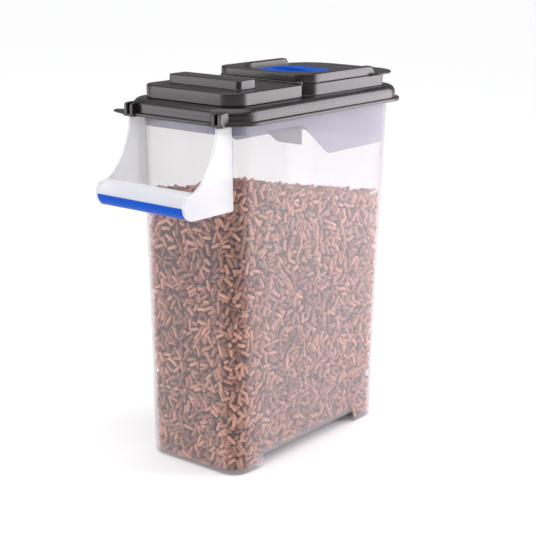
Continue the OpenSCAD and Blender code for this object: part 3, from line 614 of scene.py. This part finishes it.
# ---------------------------------------------------------------- lid
# One black polypropylene moulding pushed on over the rim: a flange with a fine step, an upright
# skirt, a rounded shoulder and a flat deck with the fill neck and the hatch's coaming.
black = moulded("black_polypropylene", dark=(0.014, 0.009, 0.010), light=(0.022, 0.015, 0.017),
                rough=0.27, grain=0.4, relief=0.010, IOR=1.50)
lid_t = 2.4
deck_z = mouth_z + 17.5
shoulder_r = 8.5
cap_low, cap_high = near("fill_cap")
hatch_low, hatch_high = near("hatch_lid")
neck_half, neck_y0, neck_y1, neck_r = cap_high[0] - 9.5, cap_low[1] + 10, cap_high[1] - 16.2, 16
neck_top, neck_t = mouth_z + 26.5, 2.2
lip_past = 30.35
hatch_half, hatch_y0, hatch_y1 = cap_high[0] - 0.5, hatch_low[1], hatch_high[1] - lip_past
coaming_top, coaming_w = mouth_z + 30.5, 7
barrel_r = 3.0
hatch_axis_y = hatch_y0 + barrel_r
cap_axis_y, cap_axis_z = cap_high[1] - 6, deck_z + 8


def mouth_loop(grow, z):
    """The mouth's outline grown outwards by a distance, at a height."""
    return at_height(outline(mouth + grow, -mouth_y - grow, mouth_y + grow, MOUTH[2] + grow,
                             corner=17), z)


def neck_loop(grow, z):
    """The fill neck's outline grown outwards by a distance, at a height."""
    return at_height(outline(neck_half + grow, neck_y0 - grow, neck_y1 + grow, neck_r + grow), z)


def coaming_loop(grow, z):
    """The coaming's outside, with a wide corner at the front and a small one at the rear."""
    return at_height(outline(hatch_half + grow, hatch_y0 - grow, hatch_y1 + grow, 20 + grow,
                             8 + grow, corner=13), z)


def opening_loop(grow, z):
    """The pour opening's outline inside the coaming."""
    return at_height(outline(hatch_half - coaming_w + grow, hatch_y0 + 9 - grow,
                             hatch_y1 - 9 + grow, 10 + grow, corner=13), z)


def rows_of(loop, profile):
    """One outline at each (outwards, up) of a profile."""
    return [loop(out, z) for out, z in profile]


def rod(x0, x1, y, z, r, sides=32):
    """A rod along X, closed at both ends."""
    a = np.radians(np.linspace(0, 360, sides, endpoint=False))
    shell.moulding(across(np.column_stack([y + r * np.cos(a), z + r * np.sin(a)]), (x0, x1)))


def brick(x0, x1, y0, y1, z0, z1):
    """A plain block between two corners."""
    loop = np.array([[x1, y0], [x1, y1], [x0, y1], [x0, y0]], float)
    shell.moulding([at_height(loop, z0), at_height(loop, z1)])


def cut(made, cutter):
    """Takes the cutter's solids out of a finished object, as a side action in the mould does."""
    mesh = bpy.data.meshes.new("cutter")
    mesh.from_pydata(np.concatenate(cutter.points) * MM + CENTRE_M, [], cutter.faces)
    work = bmesh.new()
    work.from_mesh(mesh)
    bmesh.ops.recalc_face_normals(work, faces=work.faces)
    work.to_mesh(mesh)
    work.free()
    tool = bpy.data.objects.new("cutter", mesh)
    bpy.context.scene.collection.objects.link(tool)
    taking = made.modifiers.new("cut", "BOOLEAN")
    taking.operation, taking.solver, taking.object = "DIFFERENCE", "EXACT", tool
    taking.use_self = True
    solved = bpy.data.meshes.new_from_object(made.evaluated_get(
        bpy.context.evaluated_depsgraph_get()))
    made.modifiers.clear()
    made.data = solved
    made.data.set_sharp_from_angle(angle=math.radians(CREASE))
    bpy.data.objects.remove(tool)


# the lid's section, as (outwards, up): its outer face, its inner face, the neck and the coaming
skirt, flange, lip_in = 9.5, 14.5, 4.4
round_out, round_up = skirt - shoulder_r, deck_z - shoulder_r
outer = [(lip_in, mouth_z), (flange - 0.5, mouth_z), (flange, mouth_z + 0.5),
         (flange, mouth_z + 1.3), (flange - 0.7, mouth_z + 1.3), (flange - 0.7, mouth_z + 1.8),
         (flange, mouth_z + 1.8), *bend(flange - 0.6, mouth_z + 2.8, 0.6, 0, 90, 4),
         *bend(skirt + 1.4, mouth_z + 4.8, 1.4, 270, 180),
         *bend(round_out, round_up, shoulder_r, 0, 90, 13)]
under = [(round_out, deck_z - lid_t),
         *bend(round_out, round_up, shoulder_r - lid_t, 90, 0, 9), (skirt - lid_t, mouth_z + 1.7),
         (lip_in, mouth_z + 1.7), (lip_in, mouth_z)]
neck = [*bend(1.2, deck_z + 1.2, 1.2, 270, 180, 4), (0, neck_top - 0.6),
        *bend(-0.6, neck_top - 0.6, 0.6, 0, 90, 4),
        *bend(0.6 - neck_t, neck_top - 0.6, 0.6, 90, 180, 4), (-neck_t, deck_z - lid_t)]
coaming = [*bend(1.2, deck_z + 1.2, 1.2, 270, 180, 4),
           *bend(-1.2, coaming_top - 1.2, 1.2, 0, 90, 5)]
opening = [*bend(0.6, coaming_top - 0.6, 0.6, 90, 180, 4), (0, deck_z - lid_t)]
shell = Shell()
shell.grid(rows_of(mouth_loop, outer))
shell.grid(rows_of(mouth_loop, under))
shell.grid(rows_of(neck_loop, neck))
shell.grid([*rows_of(coaming_loop, coaming), *rows_of(opening_loop, opening)])
shell.plate(mouth_loop(*outer[-1]), neck_loop(*neck[0]), coaming_loop(*coaming[0]))
shell.plate(mouth_loop(*under[0]), neck_loop(*neck[-1]), opening_loop(*opening[-1]))
lid = piece("lid_moulding", shell, black, "lid", ["lid_shell"])

# The coaming's front is scooped out for the hatch's rolled edge, and two slots keep the bolts.
shell = Shell()
cove_half, cove_r = hatch_half - 9.2, barrel_r + 0.25
cove_arc = bend(hatch_axis_y, coaming_top, cove_r, 270, 360, 9)
cove = [(hatch_y0 - 2, coaming_top - cove_r), *cove_arc, (hatch_axis_y + cove_r, coaming_top + 2),
        (hatch_y0 - 2, coaming_top + 2)]
shell.moulding(across(cove, (-cove_half, cove_half)))
dial_low, dial_high = near("lock_dial")
dial_y = (dial_low[1] + dial_high[1]) / 2
bolt_low, bolt_high = near("latch_bolt_right")
keeper_x, keeper_half = hatch_half - 5.9, 2.2
for s in (-1, 1):
    brick(s * keeper_x - keeper_half, s * keeper_x + keeper_half, bolt_low[1] - 0.6,
          bolt_high[1] + 0.6, bolt_low[2] - 0.5, bolt_low[2] + 4)
cut(lid, shell)

# Knuckles on short posts carry the hinge pins of the cap and the hatch. They are moulded with the
# lid, in the same black polypropylene.
hatch_knuckle_x, cap_knuckle_x, knuckle_half, cap_knuckle_r = 28, 40, 6, 3.2
shell = Shell()
for s in (-1, 1):
    for x, y, z, r, drop in ((hatch_knuckle_x, hatch_axis_y, coaming_top, barrel_r - 0.1, cove_r),
                             (cap_knuckle_x, cap_axis_y, cap_axis_z, cap_knuckle_r, 0)):
        x0, x1 = s * x - knuckle_half, s * x + knuckle_half
        rod(x0, x1, y, z, r)
        brick(x0, x1, y - r, y + r, deck_z - 1, z - drop)
        if drop:
            brick(x0, x1, y, y + r, deck_z - 1, z)
piece("lid_knuckles", shell, black, "lid", bevel=0.25)


# Each cheek of the handle is held between two upright ribs at the lid's front, rounded over at
# the top and standing on one shoe. They are part of the lid's moulding.
def rib_side(front, top, back):
    """Side view of a rib: up the front, round its top corner and down the back."""
    corner = [(front - o, u) for o, u in bend(-3.2, top - 3.2, 3.2, 0, 90, 6)]
    return [(front, mouth_z), *corner, (back, top + 0.4), (back, mouth_z)]


rib_front, rib_half, rib_off, shoe_half = -mouth_y - flange - 1.2, 2.1, 4.05, 7.6
side_view = rib_side(rib_front, deck_z - 3.6, -mouth_y - 2.5)
shell = Shell()
for s in (-1, 1):
    for x in (cheek_x - rib_off, cheek_x + rib_off):
        shell.moulding(across(side_view, (s * x - rib_half, s * x + rib_half)))
    brick(s * cheek_x - shoe_half, s * cheek_x + shoe_half, rib_front + 0.2, rib_front + 4.2,
          mouth_z - 0.6, mouth_z + 2.2)
piece("lid_ribs", shell, black, "lid", bevel=0.8)

# A thin tab at one front corner gives the thumb a hold to lift the lid. It is moulded with the
# lid's flange.
lid_low = near("lid_shell")[0]
tab_r = 7
tip = np.array([lid_low[0] + tab_r, -mouth_y - flange + 16])
turn = np.radians(np.linspace(100, 255, 12))
tab_tip = tip + tab_r * np.column_stack([np.cos(turn), np.sin(turn)])
tab_root = np.array([[-mouth - flange + 20, -mouth_y - flange + 0.8],
                     [-mouth - flange + 24, -mouth_y - flange + 24],
                     [-mouth - flange + 0.8, -mouth_y - flange + 40]])
shell = Shell()
tab = np.concatenate([tab_tip, tab_root])
shell.moulding([at_height(tab, mouth_z + 0.05), at_height(tab, mouth_z + 2.4)])
piece("lift_tab", shell, black, "lid", bevel=0.7)

# ---------------------------------------------------------------- fill cap
# A hollow black cap over the fill neck, with a bar to pull it up by. Its rear edge is trimmed
# about the hinge so that it clears the deck, and it is slotted for the lid's two knuckles.
cap_t = 2.2
bar_h = 9.9
cap_top = cap_high[2] - bar_h
cap_half, cap_y0, cap_y1 = cap_high[0], cap_low[1], cap_high[1]
cap_z0 = deck_z + 0.6
swing = cap_axis_z - deck_z - 0.25


def cap_loop(grow, z):
    """The cap's outline grown outwards, at a height: wide front corners and tight rear ones."""
    side = cap_y1 - np.array([12.0, 8, 5])
    front_r, rear_r = 22 + grow, max(3 + grow, 0.8)
    return at_height(outline(cap_half + grow, cap_y0 - grow, cap_y1 + grow, front_r, rear_r,
                             side=side, corner=13), z)


def cap_foot(grow):
    """The cap's lower edge: level, but lifted behind the hinge to the arc that clears the deck."""
    loop = cap_loop(grow, cap_z0)
    behind = np.clip(loop[:, 1] - cap_axis_y, 0, swing - 0.5)
    loop[:, 2] = np.maximum(cap_z0, cap_axis_z - np.sqrt(swing ** 2 - behind ** 2))
    return loop


bar_half, bar_back, bar_wide = 50, 28, 28
bar_y0 = cap_y0 + bar_back
bar_y1 = bar_y0 + bar_wide


def bar_loop(grow, z):
    """The bar grip's outline grown outwards by a distance, at a height."""
    return at_height(outline(bar_half + grow, bar_y0 - grow, bar_y1 + grow, 5 + grow, 3 + grow), z)


shell = Shell()
edge_r = 2.0
shell.moulding([cap_loop(-cap_t, cap_top - cap_t), cap_foot(-cap_t), cap_foot(-0.3)],
               [cap_foot(0) + [0, 0, 0.3]], [cap_loop(0, cap_z0 + 6)],
               rows_of(cap_loop, bend(-edge_r, cap_top - edge_r, edge_r, 0, 90, 6)))
cap = piece("fill_cap_moulding", shell, black, "cap", ["fill_cap"])
slot_half, lug_half = knuckle_half + 0.3, 2.75
lug_off = slot_half + lug_half
shell = Shell()
for s in (-1, 1):
    middle = s * cap_knuckle_x
    brick(middle - slot_half, middle + slot_half, cap_axis_y + 1, cap_y1 + 1, cap_z0 - 2,
          cap_top - cap_t)
cut(cap, shell)
shell = Shell()
for s in (-1, 1):
    middle = s * cap_knuckle_x
    for x in (middle - lug_off, middle + lug_off):
        rod(x - lug_half, x + lug_half, cap_axis_y, cap_axis_z, cap_knuckle_r)
        brick(x - lug_half, x + lug_half, cap_axis_y - cap_knuckle_r, cap_axis_y + cap_knuckle_r,
              cap_axis_z, cap_top - cap_t + 0.3)
piece("fill_cap_lugs", shell, black, "cap", bevel=0.25)
bar_top = cap_high[2]
shell = Shell()
shell.moulding(rows_of(bar_loop, [(1.4, cap_top - 0.8), *bend(1.4, cap_top + 1.4, 1.4, 270, 180),
                                  *bend(-1.7, bar_top - 1.7, 1.7, 0, 90, 6)]))
piece("fill_cap_bar", shell, black, "cap")

# ---------------------------------------------------------------- pour hatch
# A black flap hinged at its front: a flat plate with a wide lift lip, a raised wall round the
# finger dish, a rolled front edge that takes the pins, and a plug wall under it.
plate_t = 2.0
hatch_z0 = coaming_top + 0.2
plate_z = hatch_z0 + plate_t
raised_z = hatch_high[2]
wall_end = hatch_y1 - 27
lip_half, lip_y1 = hatch_high[0], hatch_high[1]


def inset(loop, by):
    """A closed anticlockwise outline moved inwards: each point goes square to the line through
    its two neighbours."""
    ahead = np.roll(loop, -1, 0) - np.roll(loop, 1, 0)
    inwards = np.column_stack([-ahead[:, 1], ahead[:, 0]])
    return loop + by * inwards / np.linalg.norm(inwards, axis=1)[:, None]


def rounded_edge(z0, z1, r):
    """Profile of a plate's edge, rounded under and over."""
    return [*bend(-r, z0 + r, r, -90, 0, 4), *bend(-r, z1 - r, r, 0, 90, 4)]


# the plate's outline: rounded at the hinge, straight sides, then the wider lip behind them
front_r, lip_front_r, lip_rear_r = 17, 12, 44
lip_centre = np.array([lip_half - lip_front_r, wall_end - 6 + lip_front_r])
step_angle = math.degrees(math.acos((hatch_half - lip_centre[0]) / lip_front_r))
right_side = np.array([*bend(hatch_half - front_r, hatch_axis_y + front_r, front_r, -90, 0, 12),
                       *bend(*lip_centre, lip_front_r, -step_angle, 0, 10),
                       *bend(lip_half - lip_rear_r, lip_y1 - lip_rear_r, lip_rear_r, 0, 90, 20)])
plate_line = np.concatenate([right_side, (right_side * [-1, 1])[::-1]])
dish_r = 57
raised_slope = 5


def raised_wall(corner_r=20):
    """The wall's inner and outer edges, point for point: down each side from the rear, then along
    rays from the dish's centre. A ray leaves the hatch at its side, at its front or, between the
    two, where it crosses the corner circle, whichever comes first."""
    side_y = np.linspace(wall_end + raised_slope, dial_y, 12)
    a = np.radians(np.linspace(0, -90, 26))[1:]
    ray = np.column_stack([np.cos(a), np.sin(a)])
    to_side = hatch_half / np.maximum(ray[:, 0], 1e-6)
    to_front = (hatch_y0 - dial_y) / ray[:, 1]
    corner = np.array([hatch_half - corner_r, hatch_y0 + corner_r - dial_y])
    forward = ray @ corner
    spare = forward ** 2 - corner @ corner + corner_r ** 2
    to_corner = forward + np.sqrt(np.maximum(spare, 0))
    straight = np.minimum(to_side, to_front)
    at = ray * straight[:, None]
    in_corner = (at[:, 0] > corner[0]) & (at[:, 1] < corner[1])
    reach = np.where(in_corner, to_corner, straight)
    edges = []
    for half, distance in ((dish_r, dish_r), (hatch_half, reach)):
        arc = ray * np.reshape(distance, (-1, 1)) + [0, dial_y]
        one = np.concatenate([np.column_stack([np.full(12, half), side_y]), arc])
        edges.append(np.concatenate([one, (one[:-1] * [-1, 1])[::-1]]))
    return edges


def edge_normals(edge):
    """Unit vectors square to an open line of points, on its right-hand side."""
    ahead = np.gradient(edge, axis=0)
    square = np.column_stack([ahead[:, 1], -ahead[:, 0]])
    return square / np.linalg.norm(square, axis=1)[:, None]


inner_edge, outer_edge = raised_wall()
to_out, to_dish = -edge_normals(outer_edge), edge_normals(inner_edge)
wall_r = 1.5
sections = [(outer_edge, to_out, 0, hatch_z0 + 0.9)]
sections += [(outer_edge, to_out, out, z) for out, z in bend(-wall_r, raised_z - wall_r, wall_r,
                                                               0, 90, 5)]
sections += [(inner_edge, to_dish, out, z) for out, z in bend(-wall_r, raised_z - wall_r, wall_r,
                                                                90, 0, 5)]
sections += [(inner_edge, to_dish, 0, hatch_z0 + 0.9)]
# the wall's top runs down into the plate at its two rear ends
rows, level = [], plate_z - 0.4
for line, way, out, z in sections:
    keep = np.clip((wall_end + raised_slope - line[:, 1]) / raised_slope, 0, 1)
    height = level + (z - level) * keep if z > plate_z else np.full(len(line), z)
    rows.append(np.column_stack([line + way * out, height]))
shell = Shell()
wall_rows = np.array(rows).transpose(1, 0, 2)
shell.grid(wall_rows)
shell.lid_on(wall_rows[0])
shell.lid_on(wall_rows[-1])
shell.moulding([at_height(inset(plate_line, -out), z)
                for out, z in rounded_edge(hatch_z0, plate_z, 0.8)])


def plug_loop(grow, z):
    """The plug wall's outline grown outwards by a distance, at a height."""
    return at_height(outline(hatch_half - 9.5 + grow, hatch_y0 + 11.5 - grow,
                             hatch_y1 - 12.2 + grow, 8 + grow), z)


plug_z0 = hatch_low[2]
shell.grid([plug_loop(-cap_t, plate_z - 1), plug_loop(-cap_t, plug_z0 + 0.3),
            plug_loop(-cap_t + 0.3, plug_z0), plug_loop(-0.3, plug_z0),
            plug_loop(0, plug_z0 + 0.3), plug_loop(0, plate_z - 1)], ring=True)
piece("hatch_moulding", shell, black, "hatch", ["hatch_lid"])

shell = Shell()
barrel_half = hatch_half - 9.5
knuckle_in, knuckle_out = hatch_knuckle_x - slot_half, hatch_knuckle_x + slot_half
for x0, x1 in ((-barrel_half, -knuckle_out), (-knuckle_in, knuckle_in), (knuckle_out, barrel_half)):
    rod(x0, x1, hatch_axis_y, coaming_top, barrel_r)


def post(x, y, r, z0, z1, sides=28):
    """An upright boss."""
    a = np.radians(np.linspace(0, 360, sides, endpoint=False))
    ring = np.column_stack([x + r * np.cos(a), y + r * np.sin(a)])
    shell.moulding([at_height(ring, z0), at_height(ring, z1)])


cam_top = near("lock_cam")[1][2]
cover_plate_top = near("latch_cover")[0][2] + 2
hub_r, screw_r, screw_x, screw_y = 9.5, 3.4, 40, 12
post(0, dial_y, hub_r, cam_top + 0.3, plate_z - 1)
for x in (-screw_x, screw_x):
    for y in (-screw_y, screw_y):
        post(x, dial_y + y, screw_r, cover_plate_top, plate_z - 1)
piece("hatch_bosses", shell, black, "hatch")

# ---------------------------------------------------------------- lock dial
# A blue disc that turns the lock a quarter turn. An arched finger ridge crosses it between two
# shallow finger dishes, and its spindle runs down through the hatch to the cam.
dial_r = dial_high[0]
dial_z0 = plate_z + 0.3
dial_top = dial_z0 + 3.6
ridge_top = dial_high[2]
dish_depth, dish_ball, dish_off = 2.4, 60, 26


def dial_face(r, turn):
    """Height of the dial's face: the lower of the flat top and two spherical dishes, with the
    edge between them softened over about a millimetre."""
    x, y = r * np.cos(turn), r * np.sin(turn)
    away = np.sqrt(dish_ball ** 2 - x ** 2 - (np.abs(y) - dish_off) ** 2)
    below = dish_depth - dish_ball + away
    return dial_top - 0.5 * (below + np.sqrt(below ** 2 + 0.25)) + 0.05


def ridge(half_width=6.5, arch_r=140, edge_r=1.6, stations=48):
    """The finger ridge: a section with two rounded shoulders carried along X, its top following
    an arc of arch_r, and its foot kept inside the disc."""
    x = np.linspace(-dial_r + 3, dial_r - 3, stations)
    top = ridge_top - arch_r + np.sqrt(arch_r ** 2 - x ** 2)
    shoulder = np.array(bend(half_width - edge_r, -edge_r, edge_r, 0, 90, 6))
    half = np.concatenate([[(half_width, -20)], shoulder])
    section = np.concatenate([half, (half * [-1, 1])[::-1]])
    rows = across(section, x)
    rows[..., 2] = np.maximum(rows[..., 2] + top[:, None], dial_z0 + 0.5)
    return rows + [0, dial_y, 0]


shell = Shell()
turns = np.radians(np.linspace(0, 360, 144, endpoint=False))
radii = np.concatenate([np.linspace(1.2, dial_r - 1.2, 40), [dial_r - 0.8]])
ring_r, ring_turn = np.meshgrid(radii, turns, indexing="ij")
edge_drop = 0.35 * (ring_r > dial_r - 1)
top = np.stack([ring_r * np.cos(ring_turn), dial_y + ring_r * np.sin(ring_turn),
                dial_face(ring_r, ring_turn) - edge_drop], -1)


def ring_at(r, z):
    """A circle about the dial's middle, at one height or at one for each of its points."""
    return np.column_stack([r * np.cos(turns), dial_y + r * np.sin(turns), np.broadcast_to(z, 144)])


rim_height = top[-1, :, 2]
spindle_r = 6
lower = [ring_at(spindle_r, cam_top), ring_at(spindle_r, dial_z0), ring_at(dial_r - 0.8, dial_z0),
         ring_at(dial_r, dial_z0 + 0.8), ring_at(dial_r, np.minimum(rim_height, dial_top) - 0.9),
         ring_at(dial_r - 0.25, rim_height - 0.35)]
shell.moulding(lower, top[::-1])
shell.moulding(ridge())
piece("dial_disc", shell, blue, "dial", ["lock_dial"], crease=40)

# ---------------------------------------------------------------- fittings
# What the frame already has in its true shape: the liner collar with its screws, the seals, the
# hinge pins and the lock's cam, bolts and cover. Each gets the finish it is made in.
smoke = milky("grey_blue_liner", dark=(0.18, 0.21, 0.33), light=(0.23, 0.26, 0.39), rough=0.38,
              clear=0.58, edge=0.90, IOR=1.49)
acetal = moulded("white_acetal", (0.70, 0.70, 0.72), (0.80, 0.80, 0.82), 0.34, IOR=1.48)
silicone = moulded("grey_silicone", (0.50, 0.51, 0.54), (0.60, 0.61, 0.64), 0.62, relief=0.03,
                   IOR=1.43)
rubber = moulded("black_rubber", (0.014, 0.014, 0.015), (0.024, 0.024, 0.025), 0.7, relief=0.04,
                 IOR=1.5)
zinc = Finish("zinc_plated_steel", Metallic=1.0, IOR=2.5)
drawn = zinc.noise(0.6, 3.0, stretch=(0.05, 1, 1))
zinc.feed(Base_Color=zinc.between((0.50, 0.52, 0.55), (0.72, 0.73, 0.75), drawn))
zinc.feed(Roughness=0.26 + 0.2 * (drawn - 0.5)).bump(drawn, 0.01)
finish_of = {"collar_plastic": smoke, "white_plastic": acetal, "seal": silicone,
             "black_rubber": rubber, "steel": zinc}
slot_of = {"liner_collar": "collar_plastic", "collar_screws": "steel", "lid_gasket": "seal",
           "fill_cap_seal": "seal", "hatch_seal": "seal", "fill_cap_hinge_pins": "steel",
           "hatch_hinge_pins": "steel", "dial_seal_ring": "black_rubber",
           "lock_cam": "white_plastic", "cam_screw": "steel", "latch_bolt_right": "white_plastic",
           "latch_bolt_left": "white_plastic", "latch_cover": "white_plastic",
           "latch_cover_screws": "steel"}
for node, slot in slot_of.items():
    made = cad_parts[node]
    made.data.materials.clear()
    made.data.materials.append(finish_of[slot].material)

# ---------------------------------------------------------------- studio
# A pale seamless floor under a broad soft light from above, a weak fill from the front, and two
# softboxes: one behind on the right, and one in front on the left.
floor_paint = Finish("studio_floor", Roughness=0.9, IOR=1.3)
paper = floor_paint.noise(60, 2.0)
floor_paint.feed(Base_Color=floor_paint.between((0.90, 0.90, 0.90), (0.92, 0.92, 0.92), paper))
bpy.ops.mesh.primitive_plane_add(size=60, location=(0, 0, 0))
floor = bpy.context.object
floor.name = "studio_floor"
floor.data.materials.append(floor_paint.material)

world = bpy.data.worlds.new("studio")
world.use_nodes = True
world.node_tree.nodes["Background"].inputs["Color"].default_value = (0.97, 0.98, 1.0, 1)
world.node_tree.nodes["Background"].inputs["Strength"].default_value = 0.22
bpy.context.scene.world = world


def sun(name, toward, strength, spread):
    """A distant soft light that shines along a direction."""
    data = bpy.data.lights.new(name, "SUN")
    data.energy, data.angle = strength, math.radians(spread)
    lamp = bpy.data.objects.new(name, data)
    lamp.rotation_euler = Vector(toward).to_track_quat("-Z", "Y").to_euler()
    bpy.context.scene.collection.objects.link(lamp)


LAMP_TINT = (1.0, 0.94, 0.985)


def softbox(name, place, radiance, wide, high):
    """A rectangular lamp that faces the bin, with the brightness its front is seen at."""
    data = bpy.data.lights.new(name, "AREA")
    data.shape, data.size, data.size_y = "RECTANGLE", wide, high
    data.energy = radiance * math.pi * wide * high
    data.color = LAMP_TINT
    lamp = bpy.data.objects.new(name, data)
    lamp.location = place
    toward = Vector((0, 0, 0.3)) - lamp.location
    lamp.rotation_euler = toward.to_track_quat("-Z", "Y").to_euler()
    bpy.context.scene.collection.objects.link(lamp)


sun("overhead", (0, 0.1, -1), 2.62, 80)
sun("front_fill", (0.55, 1.0, -0.45), 0.5, 60)
softbox("right_rear", (1.0, 1.05, 0.62), 6.0, 1.3, 1.2)
softbox("front_left", (-1.1, -1.35, 0.7), 3.0, 1.2, 1.2)

# The camera stands to the front right of the bin, a little above its lid.
data = bpy.data.cameras.new("camera")
data.sensor_width, data.lens, data.clip_end = 36, 89.01403, 200
camera = bpy.data.objects.new("camera", data)
yaw, pitch, roll = (math.radians(v) for v in (38.41, 14.79, 0.54))
level_ahead = Vector((-math.sin(yaw), math.cos(yaw), 0))
ahead = level_ahead * math.cos(pitch) - Vector((0, 0, math.sin(pitch)))
level = ahead.cross(Vector((0, 0, 1))).normalized()
above = level.cross(ahead)
right = level * math.cos(roll) + above * math.sin(roll)
up = above * math.cos(roll) - level * math.sin(roll)
camera.matrix_world = Matrix.Translation(Vector((0.93001, -1.14090, 0.59390))) @ Matrix(
    (right, up, -ahead)).transposed().to_4x4()
bpy.context.scene.collection.objects.link(camera)
bpy.context.scene.camera = camera
bpy.context.scene.view_settings.view_transform = "Standard"
